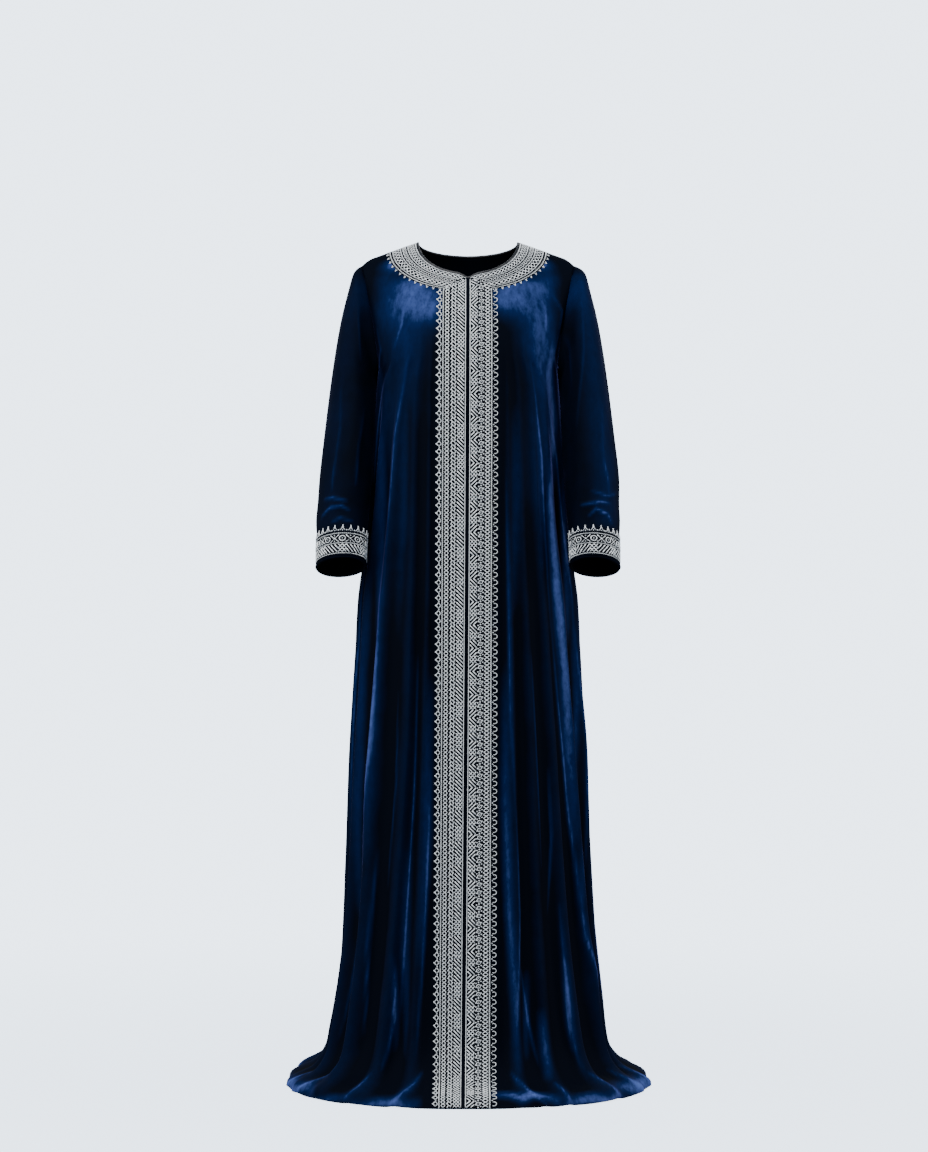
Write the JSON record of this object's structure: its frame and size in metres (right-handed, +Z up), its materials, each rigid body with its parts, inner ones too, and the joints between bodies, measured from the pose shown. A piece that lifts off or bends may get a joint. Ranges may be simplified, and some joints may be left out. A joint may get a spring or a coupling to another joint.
{
  "type": "takchita robe",
  "caption": "Full-length navy velvet takchita robe, open at centre front, with toothed silver embroidered bands at front, neck and cuffs; worn pose, hollow.",
  "frame": {"origin": "midway between the two neck points, on the line of the shoulders that hold the robe up", "axes": "+Z up, the front faces -Y, the wearer's right is -X"},
  "size_m": [0.6269, 0.6404, 1.4717],
  "materials": {
    "navy_velvet": "silk velvet, deep navy, pile brushed down, soft blue sheen on the folds",
    "silver_braid": "silver metallic thread embroidery and braid over dark cloth",
    "navy_binding": "narrow rolled navy velvet binding"
  },
  "bodies": {
    "root": {"front_right": "navy_velvet", "front_left": "navy_velvet", "back": "navy_velvet", "sleeve_right": "navy_velvet", "sleeve_left": "navy_velvet", "front_band_right": "silver_braid", "front_band_left": "silver_braid", "neck_band": "silver_braid", "neck_binding": "navy_binding", "cuff_band_right": "silver_braid", "cuff_band_left": "silver_braid"}
  },
  "joints": []
}
